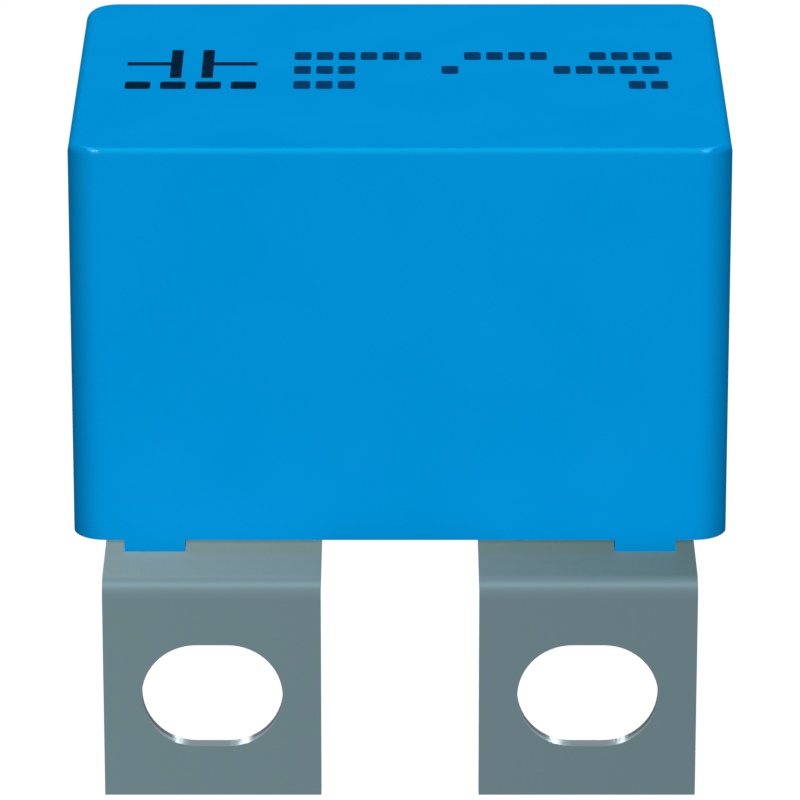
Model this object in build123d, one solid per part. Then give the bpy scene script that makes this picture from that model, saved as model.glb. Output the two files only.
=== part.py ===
"""Box film capacitor with two slotted strap terminals, made to be screwed to a busbar.

Millimetres, +Z up, +X along the case. The origin lies midway between the two slots, on the
straps' seating faces, which look towards -Y. The case stands above and behind the origin,
with its open, resin-filled side down.
"""

import os

from build123d import *

# Case: a moulded cup, turned open side down
CASE_LENGTH = 42.0
CASE_DEPTH = 31.7
CASE_HEIGHT = 26.4
CASE_WALL = 1.2
CORNER_RADIUS = 2.1
ROOF_EDGE_RADIUS = 0.8
ROOF_FRONT_EDGE_RADIUS = 0.45
INNER_CORNER_RADIUS = 0.7

# Stand-off feet on the case's rim, which rest on the straps
FOOT_LENGTH = 3.9
FOOT_HEIGHT = 0.8
FOOT_SPACING = 31.5

# Strap terminals: tinned copper strip, folded
STRAP_WIDTH = 13.9
STRAP_THICKNESS = 1.0
STRAP_SPACING = 24.0
BEND_RADIUS = 0.15
SLOT_LENGTH = 9.0
SLOT_WIDTH = 7.0
SLOT_TO_STRAP_END = 6.9
SLOT_TO_RIM = 8.65
SEAT_AHEAD_OF_CASE = 5.2

# Ear of each strap, which lies flat on the end of the winding
EAR_WIDTH = 8.0
EAR_RISE = 8.5
EAR_ROOT_HEIGHT = 2.2

# Winding, its sprayed metal ends and the solder on them
WINDING_GAP = 0.8
WINDING_ROUNDING = 0.48
CONTACT_THICKNESS = 0.5
SOLDER_THICKNESS = 0.6
SOLDER_MARGIN = 1.0
SOLDER_LENGTH = 5.5
SOLDER_EDGE = 0.25

# Resin: what it covers and how it ends at the case's mouth
RESIN_RECESS = 1.0
RESIN_MENISCUS = 0.5
RESIN_UNDER_EAR = 0.6
RESIN_OVER_LEG = 0.5
RESIN_OUTSIDE_EAR = 0.4

# Levels and lines that follow from the sizes above
RIM_Z = SLOT_TO_RIM
CASE_TOP_Z = RIM_Z + CASE_HEIGHT
CASE_MIDDLE_Y = SEAT_AHEAD_OF_CASE + CASE_DEPTH / 2
CAVITY_LENGTH = CASE_LENGTH - 2 * CASE_WALL
CAVITY_DEPTH = CASE_DEPTH - 2 * CASE_WALL
CAVITY_HEIGHT = CASE_HEIGHT - CASE_WALL
RESIN_Z = RIM_Z + RESIN_RECESS
EAR_BOTTOM_Z = RESIN_Z + RESIN_UNDER_EAR
LEG_TOP_Z = EAR_BOTTOM_Z + EAR_ROOT_HEIGHT
EAR_TOP_Z = LEG_TOP_Z + EAR_RISE
WINDING_BOTTOM_Z = LEG_TOP_Z + RESIN_OVER_LEG
WINDING_TOP_Z = RIM_Z + CAVITY_HEIGHT - WINDING_GAP
WINDING_HEIGHT = WINDING_TOP_Z - WINDING_BOTTOM_Z
WINDING_WIDTH = CAVITY_DEPTH - 2 * WINDING_GAP
CONTACT_FACE_X = CAVITY_LENGTH / 2 - RESIN_OUTSIDE_EAR - STRAP_THICKNESS
SHEET_MIDDLE = STRAP_THICKNESS / 2
BEND_MIDDLE_RADIUS = BEND_RADIUS + SHEET_MIDDLE
SHELF_MIDDLE_Z = RIM_Z - FOOT_HEIGHT - SHEET_MIDDLE
EAR_MIDDLE_X = CONTACT_FACE_X + SHEET_MIDDLE
EAR_BEND_START_X = EAR_MIDDLE_X - BEND_MIDDLE_RADIUS
EAR_FRONT_Y = CASE_MIDDLE_Y - EAR_WIDTH / 2
LEG_MIDDLE_Y = EAR_FRONT_Y - BEND_MIDDLE_RADIUS


def cavity_plan():
    """Plan of the case's inside."""
    return Pos(0, CASE_MIDDLE_Y) * RectangleRounded(CAVITY_LENGTH, CAVITY_DEPTH, INNER_CORNER_RADIUS)


def cavity():
    """The whole inside of the case, from the rim to the roof."""
    return Pos(Z=RIM_Z) * extrude(cavity_plan(), CAVITY_HEIGHT)


def foot(side_x, side_y):
    """A stand-off foot on the rim, flush with the outside of the wall it stands on."""
    centre_y = CASE_MIDDLE_Y + side_y * (CASE_DEPTH - CASE_WALL) / 2
    centre_z = RIM_Z - FOOT_HEIGHT / 2
    return Pos(side_x * FOOT_SPACING / 2, centre_y, centre_z) * Box(FOOT_LENGTH, CASE_WALL, FOOT_HEIGHT)


def rounded_block(ahead, edge_radius):
    """A block of the case's size, carried forward by ahead, with its roof's edge rounded."""
    plan = RectangleRounded(CASE_LENGTH, CASE_DEPTH + ahead, CORNER_RADIUS)
    block = Pos(0, CASE_MIDDLE_Y - ahead / 2, RIM_Z) * extrude(plan, CASE_HEIGHT)
    return fillet(block.faces().sort_by(Axis.Z)[-1].edges(), edge_radius)


def case():
    """The moulded cup and its four feet. The roof's edge is rounded less along the front."""
    front_edge = rounded_block(0, ROOF_FRONT_EDGE_RADIUS)
    other_edges = rounded_block(2 * CORNER_RADIUS, ROOF_EDGE_RADIUS)
    feet = [foot(side_x, side_y) for side_x in (-1, 1) for side_y in (-1, 1)]
    return (front_edge & other_edges) - cavity() + feet


def folded_strip(side):
    """The strip from its free end: plate, fold, shelf, fold, and the leg into the resin."""
    route = FilletPolyline(
        (side * STRAP_SPACING / 2, SHEET_MIDDLE, -SLOT_TO_STRAP_END),
        (side * STRAP_SPACING / 2, SHEET_MIDDLE, SHELF_MIDDLE_Z),
        (side * STRAP_SPACING / 2, LEG_MIDDLE_Y, SHELF_MIDDLE_Z),
        (side * STRAP_SPACING / 2, LEG_MIDDLE_Y, LEG_TOP_Z),
        radius=BEND_MIDDLE_RADIUS,
    )
    section = Location(route @ 0) * Rectangle(STRAP_WIDTH, STRAP_THICKNESS)
    return sweep(section, path=route)


def slot(side):
    """The cutter for the screw slot, through the strap's plate along Y."""
    outline = Pos(side * STRAP_SPACING / 2) * (Plane.XZ * SlotOverall(SLOT_LENGTH, SLOT_WIDTH))
    return extrude(outline, STRAP_THICKNESS * 2, both=True)


def folded_ear(side):
    """The ear: out of the leg's outer edge, round a fold, then flat on the winding's end."""
    height = EAR_TOP_Z - EAR_BOTTOM_Z
    middle_z = (EAR_TOP_Z + EAR_BOTTOM_Z) / 2
    root_x = side * STRAP_SPACING / 2
    route = FilletPolyline(
        (root_x, LEG_MIDDLE_Y, middle_z),
        (side * EAR_MIDDLE_X, LEG_MIDDLE_Y, middle_z),
        (side * EAR_MIDDLE_X, EAR_FRONT_Y + EAR_WIDTH, middle_z),
        radius=BEND_MIDDLE_RADIUS,
    )
    section = Pos(root_x, LEG_MIDDLE_Y, middle_z) * (Plane.YZ * Rectangle(STRAP_THICKNESS, height))
    above_leg = Pos(side * EAR_MIDDLE_X, LEG_MIDDLE_Y, LEG_TOP_Z) * Box(
        2 * CASE_LENGTH, 2 * BEND_MIDDLE_RADIUS, 2 * EAR_RISE, align=(Align.CENTER, Align.CENTER, Align.MIN)
    )
    return sweep(section, path=route) - above_leg


def ear_relief(side):
    """The cutter that ends the leg where the ear's fold begins."""
    return Pos(side * EAR_BEND_START_X, LEG_MIDDLE_Y, EAR_BOTTOM_Z) * Box(
        STRAP_WIDTH,
        2 * STRAP_THICKNESS,
        2 * EAR_ROOT_HEIGHT,
        align=(Align.MIN if side > 0 else Align.MAX, Align.CENTER, Align.MIN),
    )


def strap_terminal(side):
    """One folded terminal, from the slotted plate to the ear."""
    return folded_strip(side) - slot(side) - ear_relief(side) + folded_ear(side)


def winding_section(start_x, length):
    """A length of the pressed, round-ended roll, along X from start_x."""
    radius = WINDING_ROUNDING * min(WINDING_WIDTH, WINDING_HEIGHT)
    outline = Plane.YZ * RectangleRounded(WINDING_WIDTH, WINDING_HEIGHT, radius)
    middle_z = (WINDING_TOP_Z + WINDING_BOTTOM_Z) / 2
    return Pos(start_x, CASE_MIDDLE_Y, middle_z) * extrude(outline, length)


def film_winding():
    """The roll of metallised film, pressed flat."""
    half_length = CONTACT_FACE_X - CONTACT_THICKNESS
    return winding_section(-half_length, 2 * half_length)


def end_contact(side):
    """The metal sprayed on one end of the winding."""
    start_x = -CONTACT_FACE_X if side < 0 else CONTACT_FACE_X - CONTACT_THICKNESS
    return winding_section(start_x, CONTACT_THICKNESS)


def solder_joint(side):
    """The bead of solder round the ear's upper part, on the sprayed metal."""
    width = EAR_WIDTH + 2 * SOLDER_MARGIN
    height = SOLDER_LENGTH + SOLDER_MARGIN
    outline = Plane.YZ * RectangleRounded(width, height, SOLDER_MARGIN)
    pad = extrude(outline, side * SOLDER_THICKNESS)
    outer_face = pad.faces().sort_by(Axis.X)[-1 if side > 0 else 0]
    pad = chamfer(outer_face.edges(), SOLDER_EDGE)
    middle_z = EAR_TOP_Z + SOLDER_MARGIN - height / 2
    return Pos(side * CONTACT_FACE_X, CASE_MIDDLE_Y, middle_z) * pad - strap_terminal(side)


def potting_resin(enclosed):
    """The cast resin that fills the case round everything enclosed in it."""
    mouth = Pos(Z=RIM_Z) * extrude(cavity_plan(), RESIN_RECESS)
    mouth = chamfer(mouth.faces().sort_by(Axis.Z)[-1].edges(), RESIN_MENISCUS)
    resin = cavity() - mouth
    for piece in enclosed:
        resin = resin - piece
    return resin


def build():
    """All the pieces, by node name."""
    pieces = {"film_winding": film_winding()}
    for name, side in (("left", -1), ("right", 1)):
        pieces[f"end_contact_{name}"] = end_contact(side)
        pieces[f"strap_terminal_{name}"] = strap_terminal(side)
        pieces[f"solder_joint_{name}"] = solder_joint(side)
    pieces["potting_resin"] = potting_resin(list(pieces.values()))
    pieces["case"] = case()
    return pieces


os.makedirs("parts", exist_ok=True)
for node, piece in build().items():
    export_step(piece, f"parts/{node}.step")
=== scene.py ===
"""Looks for a box film capacitor on two slotted strap terminals.

Everything is in metres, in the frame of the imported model: +X along the case, +Z up, and the
straps' seating faces look towards -Y.
"""

import math

import bmesh
import bpy
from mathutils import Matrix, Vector


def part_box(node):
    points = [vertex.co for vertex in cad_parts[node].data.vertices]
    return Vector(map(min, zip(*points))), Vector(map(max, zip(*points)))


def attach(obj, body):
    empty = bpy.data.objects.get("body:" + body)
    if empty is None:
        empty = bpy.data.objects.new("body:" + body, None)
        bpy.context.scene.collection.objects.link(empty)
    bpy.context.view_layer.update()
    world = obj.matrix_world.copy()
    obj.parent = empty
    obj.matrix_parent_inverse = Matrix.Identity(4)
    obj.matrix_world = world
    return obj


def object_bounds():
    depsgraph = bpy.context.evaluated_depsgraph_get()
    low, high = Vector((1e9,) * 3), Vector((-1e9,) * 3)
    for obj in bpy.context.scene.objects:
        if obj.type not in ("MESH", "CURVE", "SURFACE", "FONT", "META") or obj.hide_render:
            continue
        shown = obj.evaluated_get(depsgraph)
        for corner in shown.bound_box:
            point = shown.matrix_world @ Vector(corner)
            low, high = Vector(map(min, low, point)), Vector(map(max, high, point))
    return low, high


MM = 0.001
SIDES = ("left", "right")
WHITE = (1, 1, 1, 1)

# Camera, as a view from a little above the front
CAMERA_ELEVATION = math.radians(20.5)
CAMERA_DISTANCE = 424.3 * MM
CAMERA_LENS = 297.4
CAMERA_CLIP_START = 10 * MM
AIM_ABOVE_FEET = 9.23 * MM
AIM_BEHIND_FRONT = 3.13 * MM

# Floor and world: how bright each is where it is seen, and how much the world lights the part
FLOOR_HALF_WIDTH = 4.0
FLOOR_BELOW_PART = 60 * MM
FLOOR_GREY = (0.06, 0.06, 0.06, 1)
FLOOR_SEEN = 0.97
WORLD_SEEN = 1.0
WORLD_LIGHT = 0.04

# Ink printed on the roof, how far it is let into it, and its tones where full and where thin
INK_THICKNESS = 0.02 * MM
INK_SUNK = 0.01 * MM
BLACK_INK = ((0.001, 0.013, 0.034, 1), (0.002, 0.021, 0.054, 1))
BLUE_BLACK_INK = ((0.002, 0.036, 0.110, 1), (0.003, 0.052, 0.150, 1))

# Rows of marks: how far each starts behind the case's front, and its groups of marks, each as
# the distance from the case's left side and the number of marks
ROW_STARTS = (12.4 * MM, 15.6 * MM, 18.6 * MM)
ROW_GROUPS = (
    ((14.1 * MM, 3), (35.8 * MM, 2)),
    ((14.1 * MM, 3), (23.7 * MM, 1), (31.0 * MM, 5)),
    ((14.1 * MM, 6), (25.2 * MM, 4), (33.4 * MM, 4)),
)
MARK_PITCH = 1.44 * MM
MARK_WIDTH = 1.1 * MM
MARK_DEPTH = 1.7 * MM
MARK_CORNER = 0.25 * MM

# Capacitor symbol: two plates across two leads, over a row of wide marks
SYMBOL_FROM_LEFT = 3.2 * MM
SYMBOL_WIDTH = 8.5 * MM
SYMBOL_START = 14.75 * MM
SYMBOL_PLATE_DEPTH = 6.0 * MM
SYMBOL_PLATE_WIDTH = 0.75 * MM
SYMBOL_GAP = 1.3 * MM
SYMBOL_LEAD_DEPTH = 0.7 * MM
SYMBOL_CORNER = 0.1 * MM
WIDE_MARK_COUNT = 4
WIDE_MARK_START = 12.4 * MM
WIDE_MARK_WIDTH = 1.65 * MM
WIDE_MARK_DEPTH = 1.55 * MM

# The values of a noise that become patches from 0 to 1
PATCH_RANGE = (0.3, 0.7)

# Rounded edges along X, by how far the surface leans sideways: the leans between which a faded
# edge becomes whole, and those between which it begins to turn. The sharpness keeps the turning
# place near the crest.
EDGE_WHOLE_LEAN = (0.329, 0.186)
EDGE_TURN_LEAN = (0.043, 0.114)
EDGE_TURN_SHARPNESS = 3.0

# Case: its blue in patches of two tones, and the paler, greener blue of a painted highlight along
# the roof's long edges
CASE_BLUE = (0.0, 0.275, 0.665, 1)
CASE_BLUE_PALE = (0.001, 0.283, 0.678, 1)
CASE_BLUE_EDGE_HIGHLIGHT = (0.002, 0.290, 0.610, 1)
CASE_ROUGHNESS = (0.3, 0.42)
CASE_COAT_ROUGHNESS = 0.15
CASE_RELIEF = 0.004 * MM

# Case: the shade on its upright edges, and the one round its rim, up to a height above the
# feet's soles. The fall keeps the rim's shade low.
UPRIGHT_EDGE_SHADE = (0.89, 0.89, 0.89, 1)
RIM_SHADE = (0.80, 0.80, 0.80, 1)
RIM_SHADE_HEIGHT = 3.8 * MM
RIM_SHADE_FALL = 3.0

# Case: the light added along the roof's long edges, as a share of their tone. Below 0 it takes
# light away. The crest has a fixed light, and one that grows as it faces up. The edge is lighter
# and glossier where it begins to turn a corner, and darker where it has turned.
CREST_LIGHT = -0.37
CREST_LIGHT_FACING_UP = 0.5
TURNING_LIGHT = 0.28
TURNED_LIGHT = -0.26
TURNING_COAT = 0.5

# Tin: its tones on plate and shelf, each with painted light that falls off along X from the left
# strap to the right one. The shelf's tones are lighter and less blue, painted light on faces that
# look up, and lighter and bluer again as painted light where the shelf runs back under the case.
# The sharpness keeps the shelf's tone off the bends. The rolled lines' relief is a share of the
# grain's.
TIN_PLATE = ((0.151, 0.229, 0.251, 1), (0.134, 0.203, 0.224, 1))
TIN_SHELF_LIT = ((0.274, 0.352, 0.328, 1), (0.128, 0.197, 0.186, 1))
TIN_LIGHT_FALLOFF_ALONG_X = (-19 * MM, 19 * MM)
TIN_UNDER_CASE_LIGHT = (1.04, 1.17, 1.21, 1)
UNDER_CASE_ALONG_Y = (3.6 * MM, 6.6 * MM)
SHELF_SHARPNESS = 20.0
TIN_IOR = 1.1
TIN_METALLIC = 0.15
TIN_ROUGHNESS = (0.42, 0.6)
TIN_RELIEF = 0.002 * MM
ROLLED_LINE_RELIEF = 0.5

# Tin on a bend: a fine light line along its crest, and the light lost as it comes to face the
# front, as shares of its tone
BEND_LINE_LIGHT = 0.13
BEND_LINE_SHARPNESS = 14.0
BEND_FRONT_LIGHT = -0.16

# Cut sides of the straps, below their bend: the faces that look to the front or back by less
# than a limit. They are rougher where they look sideways than where they look up or down, and
# there, from a depth on, they are darker with painted shade.
STRAP_BEND_TOP = 6.0 * MM
CUT_SIDE_LIMIT = 0.5
CUT_SIDEWAYS_LEAN = (0.3625, 0.4875)
CUT_METALLIC = 0.3
CUT_ROUGHNESS = (0.35, 0.6)
TIN_SHEARED = (0.205, 0.274, 0.293, 1)
TIN_CUT_SHADE = (0.4, 0.45, 0.45, 1)
CUT_SHADE_DEPTH = 0.45 * MM


# ---------------------------------------------------------------- node helpers


def feed(tree, socket, value):
    """Wires an output into a socket, or sets the socket's own value."""
    if isinstance(value, bpy.types.NodeSocket):
        tree.links.new(value, socket)
    else:
        socket.default_value = value


def arithmetic(tree, operation, *values, clamp=False):
    """The result of a Math node."""
    node = tree.nodes.new("ShaderNodeMath")
    node.operation = operation
    node.use_clamp = clamp
    for socket, value in zip(node.inputs, values):
        feed(tree, socket, value)
    return node.outputs[0]


def ramp(tree, value, start, end):
    """0 at the start and before it, 1 at the end and beyond it, and even in between."""
    slope = 1 / (end - start)
    return arithmetic(tree, "MULTIPLY_ADD", value, slope, -start * slope, clamp=True)


def blend_colours(tree, factor, first, second):
    """One colour passing into another as the factor goes from 0 to 1."""
    node = tree.nodes.new("ShaderNodeMix")
    node.data_type = "RGBA"
    feed(tree, node.inputs["Factor"], factor)
    feed(tree, node.inputs[6], first)
    feed(tree, node.inputs[7], second)
    return node.outputs[2]


def blend_values(tree, factor, first, second):
    """One number passing into another as the factor goes from 0 to 1."""
    node = tree.nodes.new("ShaderNodeMix")
    node.data_type = "FLOAT"
    feed(tree, node.inputs["Factor"], factor)
    feed(tree, node.inputs[2], first)
    feed(tree, node.inputs[3], second)
    return node.outputs[0]


def tinted(tree, factor, colour, tint):
    """A colour, multiplied by a tint as the factor goes from 0 to 1."""
    node = tree.nodes.new("ShaderNodeMix")
    node.data_type = "RGBA"
    node.blend_type = "MULTIPLY"
    feed(tree, node.inputs["Factor"], factor)
    feed(tree, node.inputs[6], colour)
    feed(tree, node.inputs[7], tint)
    return node.outputs[2]


def split(tree, vector):
    """The parts of a vector, under X, Y and Z."""
    node = tree.nodes.new("ShaderNodeSeparateXYZ")
    feed(tree, node.inputs[0], vector)
    return node.outputs


def surface(tree):
    """Where a piece's surface is, under Object, and which way it faces, under Normal."""
    return tree.nodes.new("ShaderNodeTexCoord").outputs


def noise(tree, coordinates, scale, detail):
    """A Noise Texture's value."""
    node = tree.nodes.new("ShaderNodeTexNoise")
    node.inputs["Detail"].default_value = detail
    feed(tree, node.inputs["Vector"], coordinates)
    feed(tree, node.inputs["Scale"], scale)
    return node.outputs[0]


def bump(tree, shader, height, relief):
    """Puts a height on the shader's normal. Relief is how high a height of 1 stands."""
    node = tree.nodes.new("ShaderNodeBump")
    node.inputs["Strength"].default_value = 1.0
    node.inputs["Distance"].default_value = relief
    feed(tree, node.inputs["Height"], height)
    feed(tree, shader.inputs["Normal"], node.outputs[0])


def new_group(name, inputs, outputs):
    """An empty node group: its tree, what it is given, and the sockets for its result."""
    tree = bpy.data.node_groups.new(name, "ShaderNodeTree")
    for label, kind in inputs:
        tree.interface.new_socket(label, in_out="INPUT", socket_type=f"NodeSocket{kind}")
    for label, kind in outputs:
        tree.interface.new_socket(label, in_out="OUTPUT", socket_type=f"NodeSocket{kind}")
    given = tree.nodes.new("NodeGroupInput").outputs
    result = tree.nodes.new("NodeGroupOutput").inputs
    return tree, given, result


def place_group(tree, group, **values):
    """The outputs of a group placed in a material. An underscore in a name stands for a space."""
    node = tree.nodes.new("ShaderNodeGroup")
    node.node_tree = group
    for name, value in values.items():
        feed(tree, node.inputs[name.replace("_", " ")], value)
    return node.outputs


# -------------------------------------------------------------- shared effects


def unevenness_group():
    """Grain and slow patches: the grain's height, and the patches from 0 to 1."""
    inputs = (("Coordinates", "Vector"), ("Grain Size", "Float"), ("Patch Size", "Float"))
    outputs = (("Grain", "Float"), ("Patches", "Float"))
    tree, given, result = new_group("unevenness", inputs, outputs)
    grain_scale = arithmetic(tree, "DIVIDE", 1.0, given["Grain Size"])
    patch_scale = arithmetic(tree, "DIVIDE", 1.0, given["Patch Size"])
    feed(tree, result["Grain"], noise(tree, given["Coordinates"], grain_scale, detail=3.0))
    patches = noise(tree, given["Coordinates"], patch_scale, detail=2.0)
    feed(tree, result["Patches"], ramp(tree, patches, *PATCH_RANGE))
    return tree


def long_edge_group():
    """A rounded edge along X: its crest, where the crest turns in, and where the edge has turned."""
    outputs = (("Crest", "Float"), ("Turning", "Float"), ("Turned", "Float"))
    tree, given, result = new_group("long_edge", (("Normal", "Vector"),), outputs)
    facing = split(tree, given["Normal"])
    product = arithmetic(tree, "MULTIPLY", facing["Y"], facing["Z"])
    ridge = arithmetic(tree, "MULTIPLY", arithmetic(tree, "ABSOLUTE", product), 2.0, clamp=True)
    lean = arithmetic(tree, "ABSOLUTE", facing["X"])
    crest = arithmetic(tree, "MULTIPLY", ridge, ramp(tree, lean, *EDGE_WHOLE_LEAN))
    sharp_crest = arithmetic(tree, "POWER", crest, EDGE_TURN_SHARPNESS)
    turning = arithmetic(tree, "MULTIPLY", sharp_crest, ramp(tree, lean, *EDGE_TURN_LEAN))
    feed(tree, result["Crest"], crest)
    feed(tree, result["Turning"], turning)
    feed(tree, result["Turned"], arithmetic(tree, "SUBTRACT", ridge, crest))
    return tree


def rolled_strip_group():
    """Fine lines along a folded strip, from coordinates that follow it round its folds."""
    inputs = (("Coordinates", "Vector"), ("Line Size", "Float"), ("Stretch", "Float"))
    tree, given, result = new_group("rolled_strip", inputs, (("Lines", "Float"),))
    place = split(tree, given["Coordinates"])
    run = arithmetic(tree, "SUBTRACT", place["Y"], place["Z"])
    on_strip = tree.nodes.new("ShaderNodeCombineXYZ")
    feed(tree, on_strip.inputs["X"], place["X"])
    feed(tree, on_strip.inputs["Y"], arithmetic(tree, "DIVIDE", run, given["Stretch"]))
    scale = arithmetic(tree, "DIVIDE", 1.0, given["Line Size"])
    feed(tree, result["Lines"], noise(tree, on_strip.outputs[0], scale, detail=3.0))
    return tree


# ------------------------------------------------------------------- materials


def new_material(name):
    """A material, with its tree and its shader."""
    material = bpy.data.materials.new(name)
    material.use_nodes = True
    tree = material.node_tree
    return material, tree, tree.nodes["Principled BSDF"]


def place_unevenness(tree, effects, grain_size, patch_size):
    """The grain and the patches of a piece, on its own coordinates."""
    return place_group(
        tree, effects["unevenness"],
        Coordinates=surface(tree)["Object"], Grain_Size=grain_size, Patch_Size=patch_size,
    )


def near_rim(tree):
    """1 at the soles of the case's feet, falling to 0 at the height where the shade ends."""
    soles_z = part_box("case")[0].z
    height = split(tree, surface(tree)["Object"])["Z"]
    nearness = ramp(tree, height, soles_z + RIM_SHADE_HEIGHT, soles_z)
    return arithmetic(tree, "POWER", nearness, RIM_SHADE_FALL)


def on_upright_edge(tree):
    """1 in the middle of a rounded upright edge, and 0 on the faces beside it."""
    facing = split(tree, surface(tree)["Normal"])
    product = arithmetic(tree, "MULTIPLY", facing["X"], facing["Y"])
    ridge = arithmetic(tree, "MULTIPLY", product, 2.0)
    return arithmetic(tree, "MULTIPLY", ridge, ridge)


def case_plastic(effects):
    """Blue moulded plastic, finely eroded, with a painted highlight along its long edges and painted
    shade at its upright ones and round its rim.
    """
    material, tree, shader = new_material("case_plastic")
    shader.inputs["Specular IOR Level"].default_value = 0
    shader.inputs["Coat Roughness"].default_value = CASE_COAT_ROUGHNESS
    uneven = place_unevenness(tree, effects, grain_size=0.16 * MM, patch_size=7 * MM)
    edge = place_group(tree, effects["long_edge"], Normal=surface(tree)["Normal"])
    tone = blend_colours(tree, uneven["Patches"], CASE_BLUE, CASE_BLUE_PALE)
    tone = tinted(tree, near_rim(tree), tone, RIM_SHADE)
    tone = tinted(tree, on_upright_edge(tree), tone, UPRIGHT_EDGE_SHADE)
    # Painted highlight: the crest of the roof's long edges takes another blue
    tone = blend_colours(tree, edge["Crest"], tone, CASE_BLUE_EDGE_HIGHLIGHT)
    upward = split(tree, surface(tree)["Normal"])["Z"]
    crest_light = arithmetic(tree, "MULTIPLY_ADD", upward, CREST_LIGHT_FACING_UP, CREST_LIGHT)
    light = arithmetic(tree, "MULTIPLY_ADD", edge["Crest"], crest_light, 1.0)
    light = arithmetic(tree, "MULTIPLY_ADD", edge["Turning"], TURNING_LIGHT, light)
    light = arithmetic(tree, "MULTIPLY_ADD", edge["Turned"], TURNED_LIGHT, light)
    feed(tree, shader.inputs["Base Color"], tinted(tree, 1.0, tone, light))
    feed(tree, shader.inputs["Roughness"], blend_values(tree, uneven["Patches"], *CASE_ROUGHNESS))
    turning_coat = arithmetic(tree, "MULTIPLY", edge["Turning"], TURNING_COAT)
    feed(tree, shader.inputs["Coat Weight"], turning_coat)
    bump(tree, shader, uneven["Grain"], CASE_RELIEF)
    return material


def folded_tone(tree, effects):
    """The tin on a strap's rolled faces: its plate, its shelf, and the bends, with painted light."""
    place = split(tree, surface(tree)["Object"])
    facing = split(tree, surface(tree)["Normal"])
    # Painted light: the tones fall off from the left strap to the right one
    light_falloff = ramp(tree, place["X"], *TIN_LIGHT_FALLOFF_ALONG_X)
    plate_tone = blend_colours(tree, light_falloff, *TIN_PLATE)
    shelf_tone = blend_colours(tree, light_falloff, *TIN_SHELF_LIT)
    # Painted light on the shelf where it runs back under the case
    lit_under_case = ramp(tree, place["Y"], *UNDER_CASE_ALONG_Y)
    shelf_tone = tinted(tree, lit_under_case, shelf_tone, TIN_UNDER_CASE_LIGHT)
    # The shelf's lighter tone is painted light on faces that look up
    level = arithmetic(tree, "POWER", facing["Z"], SHELF_SHARPNESS)
    tone = blend_colours(tree, level, plate_tone, shelf_tone)
    crest = place_group(tree, effects["long_edge"], Normal=surface(tree)["Normal"])["Crest"]
    sharp_crest = arithmetic(tree, "POWER", crest, BEND_LINE_SHARPNESS)
    line_light = arithmetic(tree, "MULTIPLY", sharp_crest, BEND_LINE_LIGHT)
    frontward = arithmetic(tree, "MULTIPLY", facing["Y"], facing["Y"])
    front_light = arithmetic(tree, "MULTIPLY", frontward, BEND_FRONT_LIGHT)
    light = arithmetic(tree, "MULTIPLY_ADD", crest, front_light, 1.0)
    light = arithmetic(tree, "ADD", light, line_light)
    return tinted(tree, 1.0, tone, light)


def cut_side(tree):
    """1 on the sides that a punch has cut, below the straps' bend, and 0 elsewhere."""
    height = split(tree, surface(tree)["Object"])["Z"]
    below_bend = arithmetic(tree, "LESS_THAN", height, STRAP_BEND_TOP)
    frontward = arithmetic(tree, "ABSOLUTE", split(tree, surface(tree)["Normal"])["Y"])
    edge_on = arithmetic(tree, "LESS_THAN", frontward, CUT_SIDE_LIMIT)
    return arithmetic(tree, "MULTIPLY", below_bend, edge_on)


def cut_tone(tree, sideways):
    """The tin on a cut side: sheared, with painted shade from a depth on where it looks sideways."""
    depth = split(tree, surface(tree)["Object"])["Y"]
    deep = arithmetic(tree, "GREATER_THAN", depth, CUT_SHADE_DEPTH)
    # Painted shade on the back part of the cut sides that look sideways
    cut_shade = arithmetic(tree, "MULTIPLY", sideways, deep)
    return tinted(tree, cut_shade, TIN_SHEARED, TIN_CUT_SHADE)


def tinned_copper(effects):
    """Dull tin over rolled copper strip, lighter where a punch has sheared it, with painted light on
    its rolled faces and painted shade on part of its cut sides.
    """
    material, tree, shader = new_material("tinned_copper")
    shader.inputs["IOR"].default_value = TIN_IOR
    uneven = place_unevenness(tree, effects, grain_size=0.25 * MM, patch_size=5 * MM)
    lines = place_group(
        tree, effects["rolled_strip"],
        Coordinates=surface(tree)["Object"], Line_Size=0.12 * MM, Stretch=30.0,
    )["Lines"]
    cut = cut_side(tree)
    lean = arithmetic(tree, "ABSOLUTE", split(tree, surface(tree)["Normal"])["X"])
    sideways = ramp(tree, lean, *CUT_SIDEWAYS_LEAN)
    tone = blend_colours(tree, cut, folded_tone(tree, effects), cut_tone(tree, sideways))
    feed(tree, shader.inputs["Base Color"], tone)
    feed(tree, shader.inputs["Metallic"], blend_values(tree, cut, TIN_METALLIC, CUT_METALLIC))
    rolled_roughness = blend_values(tree, lines, *TIN_ROUGHNESS)
    cut_roughness = blend_values(tree, sideways, *CUT_ROUGHNESS)
    roughness = blend_values(tree, cut, rolled_roughness, cut_roughness)
    feed(tree, shader.inputs["Roughness"], roughness)
    height = arithmetic(tree, "MULTIPLY_ADD", lines, ROLLED_LINE_RELIEF, uneven["Grain"])
    bump(tree, shader, height, TIN_RELIEF)
    return material


def uneven_finish(
    effects, name, grain_size, patch_size, relief, tones, tones_follow,
    roughness, roughness_follows, metallic=0.0, specular=0.5,
):
    """A finish whose tone and roughness each follow the patches or the grain."""
    material, tree, shader = new_material(name)
    shader.inputs["Metallic"].default_value = metallic
    shader.inputs["Specular IOR Level"].default_value = specular
    uneven = place_unevenness(tree, effects, grain_size, patch_size)
    tone = blend_colours(tree, uneven[tones_follow], *tones)
    feed(tree, shader.inputs["Base Color"], tone)
    varied_roughness = blend_values(tree, uneven[roughness_follows], *roughness)
    feed(tree, shader.inputs["Roughness"], varied_roughness)
    bump(tree, shader, uneven["Grain"], relief)
    return material


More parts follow.
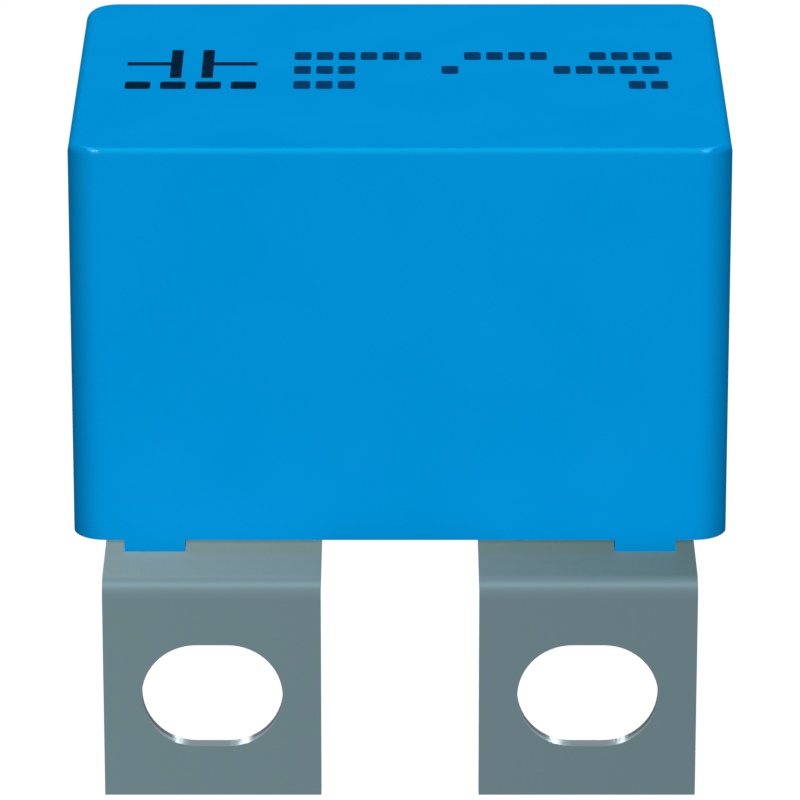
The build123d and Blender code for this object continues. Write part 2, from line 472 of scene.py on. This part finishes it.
def resin(effects):
    """Dark blue cast resin, glossy and a little wavy."""
    return uneven_finish(
        effects, "resin", grain_size=2.2 * MM, patch_size=9 * MM, relief=0.12 * MM,
        tones=((0.008, 0.07, 0.19, 1), (0.014, 0.095, 0.24, 1)), tones_follow="Patches",
        roughness=(0.18, 0.36), roughness_follows="Patches",
    )


def wound_film(effects):
    """Metallised film: silvery, a little duller in places, and finely uneven."""
    return uneven_finish(
        effects, "wound_film", grain_size=0.5 * MM, patch_size=6 * MM, relief=0.02 * MM,
        tones=((0.45, 0.46, 0.48, 1), (0.62, 0.63, 0.64, 1)), tones_follow="Patches",
        roughness=(0.2, 0.45), roughness_follows="Grain", metallic=0.6,
    )


def sprayed_metal(effects):
    """Metal sprayed on in droplets: grey, rough and grainy."""
    return uneven_finish(
        effects, "sprayed_metal", grain_size=0.22 * MM, patch_size=3 * MM, relief=0.12 * MM,
        tones=((0.28, 0.28, 0.28, 1), (0.5, 0.5, 0.49, 1)), tones_follow="Grain",
        roughness=(0.65, 0.85), roughness_follows="Patches", metallic=0.7,
    )


def solder(effects):
    """Solder: bright, with a faint frosting."""
    return uneven_finish(
        effects, "solder", grain_size=0.6 * MM, patch_size=2 * MM, relief=0.05 * MM,
        tones=((0.5, 0.5, 0.51, 1), (0.66, 0.66, 0.67, 1)), tones_follow="Patches",
        roughness=(0.18, 0.4), roughness_follows="Patches", metallic=1.0,
    )


def ink(effects, name, tones):
    """Printing ink without gloss, a little thinner in places."""
    return uneven_finish(
        effects, name, grain_size=0.1 * MM, patch_size=0.8 * MM, relief=0.003 * MM,
        tones=tones, tones_follow="Patches",
        roughness=(0.4, 0.6), roughness_follows="Grain", specular=0,
    )


def dress_nodes(frame, effects):
    """Gives every node of the model its finish."""
    finishes = {
        "case": case_plastic(effects),
        "potting_resin": resin(effects),
        "film_winding": wound_film(effects),
    }
    by_side = {
        "strap_terminal": tinned_copper(effects),
        "end_contact": sprayed_metal(effects),
        "solder_joint": solder(effects),
    }
    for name, material in by_side.items():
        for side in SIDES:
            finishes[f"{name}_{side}"] = material
    for name, material in finishes.items():
        mesh = frame["nodes"][name].data
        mesh.materials.clear()
        mesh.materials.append(material)


# ----------------------------------------------------------------------- print


def printed_tile(bm, left, front, width, depth, corner):
    """A rounded rectangle of ink, flat, with its front left corner at the given place."""
    tile = bmesh.ops.create_grid(bm, x_segments=1, y_segments=1, size=0.5)["verts"]
    bmesh.ops.scale(bm, verts=tile, vec=(width, depth, 1))
    bmesh.ops.translate(bm, verts=tile, vec=(left + width / 2, front + depth / 2, 0))
    bmesh.ops.bevel(
        bm, geom=tile, affect="VERTICES", offset=corner, segments=3, profile=0.5, material=-1
    )


def printed_piece(name, bm, material):
    """Gives flat shapes their thickness, and makes them a printed piece on the roof."""
    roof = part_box("case")[1].z
    bmesh.ops.translate(bm, verts=bm.verts, vec=(0, 0, roof - INK_SUNK))
    raised = bmesh.ops.extrude_face_region(bm, geom=bm.faces[:])["geom"]
    raised_verts = [part for part in raised if isinstance(part, bmesh.types.BMVert)]
    bmesh.ops.translate(bm, verts=raised_verts, vec=(0, 0, INK_THICKNESS))
    bmesh.ops.recalc_face_normals(bm, faces=bm.faces[:])
    mesh = bpy.data.meshes.new(name)
    bm.to_mesh(mesh)
    bm.free()
    mesh.materials.append(material)
    piece = bpy.data.objects.new(name, mesh)
    bpy.context.scene.collection.objects.link(piece)
    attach(piece, "root")


def print_symbol(material):
    """The capacitor symbol, two plates across two leads, over a row of wide marks."""
    case_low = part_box("case")[0]
    bm = bmesh.new()
    left = case_low.x + SYMBOL_FROM_LEFT
    front = case_low.y + SYMBOL_START
    middle = left + SYMBOL_WIDTH / 2
    for plate_left in (middle - SYMBOL_GAP / 2 - SYMBOL_PLATE_WIDTH, middle + SYMBOL_GAP / 2):
        printed_tile(bm, plate_left, front, SYMBOL_PLATE_WIDTH, SYMBOL_PLATE_DEPTH, SYMBOL_CORNER)
    lead_front = front + (SYMBOL_PLATE_DEPTH - SYMBOL_LEAD_DEPTH) / 2
    lead_width = (SYMBOL_WIDTH - SYMBOL_GAP) / 2 - SYMBOL_PLATE_WIDTH
    for lead_left in (left, left + SYMBOL_WIDTH - lead_width):
        printed_tile(bm, lead_left, lead_front, lead_width, SYMBOL_LEAD_DEPTH, SYMBOL_CORNER)
    mark_front = case_low.y + WIDE_MARK_START
    pitch = (SYMBOL_WIDTH - WIDE_MARK_WIDTH) / (WIDE_MARK_COUNT - 1)
    for index in range(WIDE_MARK_COUNT):
        mark_left = left + index * pitch
        printed_tile(bm, mark_left, mark_front, WIDE_MARK_WIDTH, WIDE_MARK_DEPTH, MARK_CORNER)
    printed_piece("printed_symbol", bm, material)


def print_rows(material):
    """Three rows of plain marks, in groups."""
    case_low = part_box("case")[0]
    bm = bmesh.new()
    for row_start, groups in zip(ROW_STARTS, ROW_GROUPS):
        for group_start, count in groups:
            for index in range(count):
                left = case_low.x + group_start + index * MARK_PITCH
                printed_tile(bm, left, case_low.y + row_start, MARK_WIDTH, MARK_DEPTH, MARK_CORNER)
    printed_piece("printed_rows", bm, material)


# ----------------------------------------------------------------------- stage


def add_camera():
    """The camera, aimed at the lower middle of the case's front."""
    case_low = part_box("case")[0]
    aim = Vector((0, case_low.y + AIM_BEHIND_FRONT, case_low.z + AIM_ABOVE_FEET))
    back = Vector((0, -math.cos(CAMERA_ELEVATION), math.sin(CAMERA_ELEVATION)))
    data = bpy.data.cameras.new("camera")
    data.lens = CAMERA_LENS
    data.clip_start = CAMERA_CLIP_START
    camera = bpy.data.objects.new("camera", data)
    camera.location = aim + back * CAMERA_DISTANCE
    camera.rotation_euler = (math.pi / 2 - CAMERA_ELEVATION, 0, 0)
    bpy.context.scene.collection.objects.link(camera)
    bpy.context.scene.camera = camera


def add_sun(name, azimuth, elevation, strength, angle, shadow=True, glossy=True):
    """A distant soft lamp. Azimuth 0 shines from -Y, and 90 from +X."""
    data = bpy.data.lights.new(name, "SUN")
    data.energy = strength
    data.angle = math.radians(angle)
    data.use_shadow = shadow
    lamp = bpy.data.objects.new(name, data)
    lamp.rotation_euler = (math.radians(90 - elevation), 0, math.radians(azimuth))
    lamp.visible_glossy = glossy
    bpy.context.scene.collection.objects.link(lamp)


def add_lights():
    """A key lamp in front, one from below, and three pairs: high up, behind, and at the sides."""
    add_sun("key", azimuth=0, elevation=24, strength=2.5, angle=15, glossy=False)
    add_sun("under", azimuth=180, elevation=-45, strength=1.2, angle=20, glossy=False)
    for side in (-1, 1):
        add_sun(
            f"high_{side}", azimuth=35 * side, elevation=65, strength=0.92, angle=10, shadow=False
        )
        add_sun(f"behind_{side}", azimuth=167 * side, elevation=12, strength=0.8, angle=6)
        add_sun(
            f"side_{side}", azimuth=140 * side, elevation=0, strength=0.42, angle=10, glossy=False
        )


def seen_directly(tree):
    """1 for what the camera sees, also in a reflection or through glass, and else 0."""
    path = tree.nodes.new("ShaderNodeLightPath").outputs
    mirrored = arithmetic(tree, "MAXIMUM", path["Is Glossy Ray"], path["Is Transmission Ray"])
    return arithmetic(tree, "MAXIMUM", path["Is Camera Ray"], mirrored)


def add_world():
    """A weak even light, seen as a white background."""
    world = bpy.data.worlds.new("studio")
    bpy.context.scene.world = world
    world.use_nodes = True
    tree = world.node_tree
    background = tree.nodes["Background"]
    background.inputs["Color"].default_value = WHITE
    strength = blend_values(tree, seen_directly(tree), WORLD_LIGHT, WORLD_SEEN)
    feed(tree, background.inputs["Strength"], strength)


def add_floor(low):
    """A pale floor below the part, which keeps no lamp from it."""
    mesh = bpy.data.meshes.new("floor")
    bm = bmesh.new()
    bmesh.ops.create_grid(bm, x_segments=1, y_segments=1, size=FLOOR_HALF_WIDTH)
    bmesh.ops.translate(bm, verts=bm.verts, vec=(0, 0, low.z - FLOOR_BELOW_PART))
    bm.to_mesh(mesh)
    bm.free()
    floor = bpy.data.objects.new("floor", mesh)
    floor.visible_shadow = False
    bpy.context.scene.collection.objects.link(floor)
    material, tree, shader = new_material("floor")
    shader.inputs["Base Color"].default_value = FLOOR_GREY
    shader.inputs["Specular IOR Level"].default_value = 0
    shader.inputs["Emission Color"].default_value = WHITE
    strength = arithmetic(tree, "MULTIPLY", seen_directly(tree), FLOOR_SEEN)
    feed(tree, shader.inputs["Emission Strength"], strength)
    mesh.materials.append(material)


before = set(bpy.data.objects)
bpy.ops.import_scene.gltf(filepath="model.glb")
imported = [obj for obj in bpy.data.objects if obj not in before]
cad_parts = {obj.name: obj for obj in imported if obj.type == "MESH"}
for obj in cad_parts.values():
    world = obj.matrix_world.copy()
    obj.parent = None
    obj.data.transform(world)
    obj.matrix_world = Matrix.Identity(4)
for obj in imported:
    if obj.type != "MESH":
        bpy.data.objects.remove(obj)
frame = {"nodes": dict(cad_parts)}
cad_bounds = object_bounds()
bpy.context.scene.view_settings.view_transform = "Standard"
effects = {
    "unevenness": unevenness_group(),
    "long_edge": long_edge_group(),
    "rolled_strip": rolled_strip_group(),
}
dress_nodes(frame, effects)
print_symbol(ink(effects, "black_ink", BLACK_INK))
print_rows(ink(effects, "blue_black_ink", BLUE_BLACK_INK))
add_camera()
add_lights()
add_world()
add_floor(cad_bounds[0])
